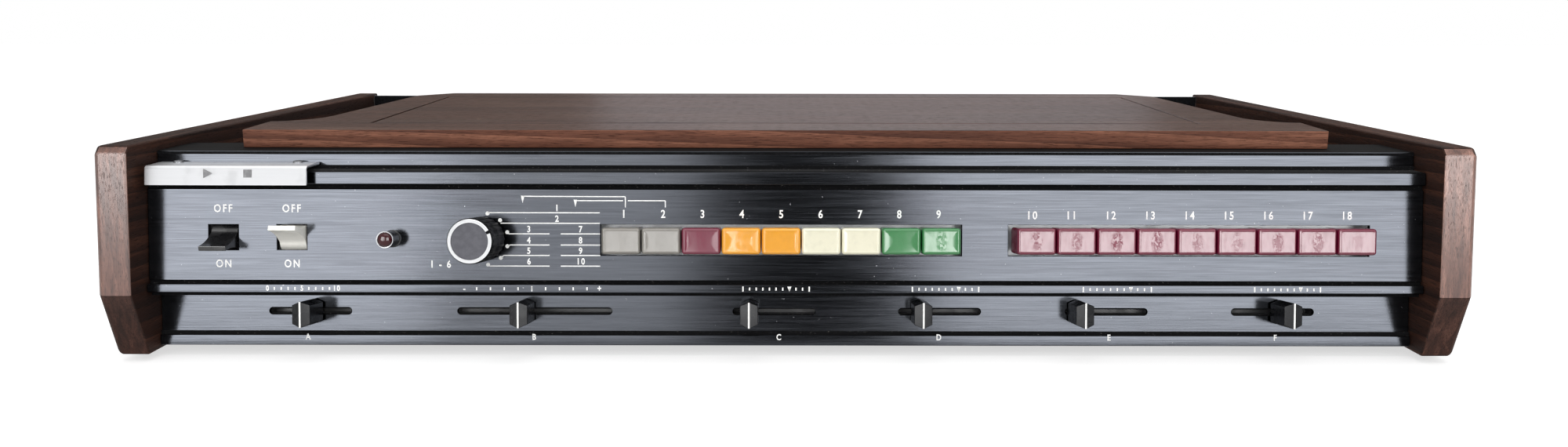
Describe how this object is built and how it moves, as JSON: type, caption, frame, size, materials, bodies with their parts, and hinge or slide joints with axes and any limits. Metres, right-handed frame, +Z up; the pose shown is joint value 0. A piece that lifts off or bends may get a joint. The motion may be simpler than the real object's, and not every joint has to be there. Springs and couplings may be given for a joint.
{
  "type": "drum machine",
  "caption": "Table-top rhythm box with wooden cheeks, rows of push buttons, slide controls, lever switches, a start bar and a fold-up music rest.",
  "frame": {"origin": "on the table under the middle of the case", "axes": "+X to the player's right, +Y away from the player to the rear, +Z up"},
  "size_m": [0.5462, 0.3016, 0.0921],
  "materials": {
    "walnut": "oiled walnut veneer, satin",
    "lid_walnut": "walnut veneer, semi-matt, worn",
    "batten_wood": "plain softwood, stained",
    "black_steel": "satin black enamel",
    "rear_metal": "brushed, grey anodised",
    "zinc": "zinc plated",
    "rubber": "matt",
    "panel_aluminium": "brushed, black anodised",
    "rail_aluminium": "brushed, black anodised",
    "felt": "black felt",
    "bright_aluminium": "satin brushed",
    "chrome": "polished",
    "black_plastic": "moulded",
    "dark_plastic": "moulded",
    "white_plastic": "moulded",
    "grey_cap": "moulded",
    "maroon_cap": "moulded",
    "orange_cap": "moulded",
    "cream_cap": "moulded",
    "green_cap": "moulded",
    "lens_red": "clear red moulding",
    "board": "paper laminate",
    "components": "mixed cans and bodies",
    "iron_core": "varnished laminations"
  },
  "bodies": {
    "case": {"left_cheek": "walnut", "right_cheek": "walnut", "base_plate": "black_steel", "rear_panel": "rear_metal", "top_cover": "black_steel", "cheek_brackets": "zinc", "rubber_feet": "rubber", "fasteners": "zinc", "front_chassis": "zinc", "front_panel": "panel_aluminium", "lower_panel": "panel_aluminium", "top_rail": "rail_aluminium", "middle_rail": "rail_aluminium", "tick_rail": "rail_aluminium", "bottom_rail": "rail_aluminium", "felt_strips": "felt", "lid_frame": "lid_walnut", "lid_battens": "batten_wood", "start_switch": "dark_plastic", "paddle_switches": "dark_plastic", "rotary_switch": "dark_plastic", "lamp_bezel": "chrome", "lamp_lens": "lens_red", "button_banks": "zinc", "slide_pots": "zinc", "circuit_board": "board", "circuit_components": "components", "power_transformer": "iron_core", "output_jacks": "chrome", "cable_gland": "dark_plastic"},
    "music_rest": {"music_rest": "lid_walnut"},
    "rest_prop": {"rest_prop": "zinc"},
    "start_bar": {"start_bar": "bright_aluminium"},
    "power_paddle": {"power_paddle": "black_plastic"},
    "mute_paddle": {"mute_paddle": "white_plastic"},
    "variation_knob": {"variation_knob": "black_plastic"},
    "button_left_1": {"button_left_1": "grey_cap"},
    "button_left_2": {"button_left_2": "grey_cap"},
    "button_left_3": {"button_left_3": "maroon_cap"},
    "button_left_4": {"button_left_4": "orange_cap"},
    "button_left_5": {"button_left_5": "orange_cap"},
    "button_left_6": {"button_left_6": "cream_cap"},
    "button_left_7": {"button_left_7": "cream_cap"},
    "button_left_8": {"button_left_8": "green_cap"},
    "button_left_9": {"button_left_9": "green_cap"},
    "button_right_1": {"button_right_1": "maroon_cap"},
    "button_right_2": {"button_right_2": "maroon_cap"},
    "button_right_3": {"button_right_3": "maroon_cap"},
    "button_right_4": {"button_right_4": "maroon_cap"},
    "button_right_5": {"button_right_5": "maroon_cap"},
    "button_right_6": {"button_right_6": "maroon_cap"},
    "button_right_7": {"button_right_7": "maroon_cap"},
    "button_right_8": {"button_right_8": "maroon_cap"},
    "button_right_9": {"button_right_9": "maroon_cap"},
    "slider_1": {"slider_1": "black_plastic"},
    "slider_2": {"slider_2": "black_plastic"},
    "slider_3": {"slider_3": "black_plastic"},
    "slider_4": {"slider_4": "black_plastic"},
    "slider_5": {"slider_5": "black_plastic"},
    "slider_6": {"slider_6": "black_plastic"}
  },
  "joints": [
    {"name": "rest_hinge", "type": "hinge", "parent": "case", "child": "music_rest", "pos_m": [0, -0.0727, 0.0905], "axis": [1, 0, 0], "range_deg": [0, 60]},
    {"name": "prop_hinge", "type": "hinge", "parent": "music_rest", "child": "rest_prop", "pos_m": [0, -0.0107, 0.08215], "axis": [1, 0, 0], "range_deg": [-120, 0]},
    {"name": "start_bar_press", "type": "slide", "parent": "case", "child": "start_bar", "axis": [0, 0, -1], "range_m": [0, 0.0014], "stiffness_N_per_m": 400, "springref_m": -0.002},
    {"name": "power_throw", "type": "hinge", "parent": "case", "child": "power_paddle", "pos_m": [-0.22862, -0.12021, 0.04943], "axis": [1, 0, 0], "range_deg": [-26, 0]},
    {"name": "mute_throw", "type": "hinge", "parent": "case", "child": "mute_paddle", "pos_m": [-0.2008, -0.12021, 0.04943], "axis": [1, 0, 0], "range_deg": [0, 26]},
    {"name": "knob_turn", "type": "hinge", "parent": "case", "child": "variation_knob", "pos_m": [-0.1229, -0.1282, 0.05011], "axis": [0, -0.989, 0.1478], "range_deg": [-90, 60]},
    {"name": "button_left_1_press", "type": "slide", "parent": "case", "child": "button_left_1", "axis": [0, 0.989, -0.1478], "range_m": [0, 0.004], "stiffness_N_per_m": 300, "springref_m": -0.004},
    {"name": "button_left_2_press", "type": "slide", "parent": "case", "child": "button_left_2", "axis": [0, 0.989, -0.1478], "range_m": [0, 0.004], "stiffness_N_per_m": 300, "springref_m": -0.004},
    {"name": "button_left_3_press", "type": "slide", "parent": "case", "child": "button_left_3", "axis": [0, 0.989, -0.1478], "range_m": [0, 0.004], "stiffness_N_per_m": 300, "springref_m": -0.004},
    {"name": "button_left_4_press", "type": "slide", "parent": "case", "child": "button_left_4", "axis": [0, 0.989, -0.1478], "range_m": [0, 0.004], "stiffness_N_per_m": 300, "springref_m": -0.004},
    {"name": "button_left_5_press", "type": "slide", "parent": "case", "child": "button_left_5", "axis": [0, 0.989, -0.1478], "range_m": [0, 0.004], "stiffness_N_per_m": 300, "springref_m": -0.004},
    {"name": "button_left_6_press", "type": "slide", "parent": "case", "child": "button_left_6", "axis": [0, 0.989, -0.1478], "range_m": [0, 0.004], "stiffness_N_per_m": 300, "springref_m": -0.004},
    {"name": "button_left_7_press", "type": "slide", "parent": "case", "child": "button_left_7", "axis": [0, 0.989, -0.1478], "range_m": [0, 0.004], "stiffness_N_per_m": 300, "springref_m": -0.004},
    {"name": "button_left_8_press", "type": "slide", "parent": "case", "child": "button_left_8", "axis": [0, 0.989, -0.1478], "range_m": [0, 0.004], "stiffness_N_per_m": 300, "springref_m": -0.004},
    {"name": "button_left_9_press", "type": "slide", "parent": "case", "child": "button_left_9", "axis": [0, 0.989, -0.1478], "range_m": [0, 0.004], "stiffness_N_per_m": 300, "springref_m": -0.004},
    {"name": "button_right_1_press", "type": "slide", "parent": "case", "child": "button_right_1", "axis": [0, 0.989, -0.1478], "range_m": [0, 0.004], "stiffness_N_per_m": 300, "springref_m": -0.004},
    {"name": "button_right_2_press", "type": "slide", "parent": "case", "child": "button_right_2", "axis": [0, 0.989, -0.1478], "range_m": [0, 0.004], "stiffness_N_per_m": 300, "springref_m": -0.004},
    {"name": "button_right_3_press", "type": "slide", "parent": "case", "child": "button_right_3", "axis": [0, 0.989, -0.1478], "range_m": [0, 0.004], "stiffness_N_per_m": 300, "springref_m": -0.004},
    {"name": "button_right_4_press", "type": "slide", "parent": "case", "child": "button_right_4", "axis": [0, 0.989, -0.1478], "range_m": [0, 0.004], "stiffness_N_per_m": 300, "springref_m": -0.004},
    {"name": "button_right_5_press", "type": "slide", "parent": "case", "child": "button_right_5", "axis": [0, 0.989, -0.1478], "range_m": [0, 0.004], "stiffness_N_per_m": 300, "springref_m": -0.004},
    {"name": "button_right_6_press", "type": "slide", "parent": "case", "child": "button_right_6", "axis": [0, 0.989, -0.1478], "range_m": [0, 0.004], "stiffness_N_per_m": 300, "springref_m": -0.004},
    {"name": "button_right_7_press", "type": "slide", "parent": "case", "child": "button_right_7", "axis": [0, 0.989, -0.1478], "range_m": [0, 0.004], "stiffness_N_per_m": 300, "springref_m": -0.004},
    {"name": "button_right_8_press", "type": "slide", "parent": "case", "child": "button_right_8", "axis": [0, 0.989, -0.1478], "range_m": [0, 0.004], "stiffness_N_per_m": 300, "springref_m": -0.004},
    {"name": "button_right_9_press", "type": "slide", "parent": "case", "child": "button_right_9", "axis": [0, 0.989, -0.1478], "range_m": [0, 0.004], "stiffness_N_per_m": 300, "springref_m": -0.004},
    {"name": "slider_1_slide", "type": "slide", "parent": "case", "child": "slider_1", "axis": [1, 0, 0], "range_m": [-0.017, 0.013]},
    {"name": "slider_2_slide", "type": "slide", "parent": "case", "child": "slider_2", "axis": [1, 0, 0], "range_m": [-0.0265, 0.0335]},
    {"name": "slider_3_slide", "type": "slide", "parent": "case", "child": "slider_3", "axis": [1, 0, 0], "range_m": [-0.005, 0.025]},
    {"name": "slider_4_slide", "type": "slide", "parent": "case", "child": "slider_4", "axis": [1, 0, 0], "range_m": [-0.0065, 0.0235]},
    {"name": "slider_5_slide", "type": "slide", "parent": "case", "child": "slider_5", "axis": [1, 0, 0], "range_m": [-0.0025, 0.0275]},
    {"name": "slider_6_slide", "type": "slide", "parent": "case", "child": "slider_6", "axis": [1, 0, 0], "range_m": [-0.0173, 0.0127]}
  ],
  "couplings": [
    {"joint": "prop_hinge", "follows": "rest_hinge", "ratio": -2}
  ]
}
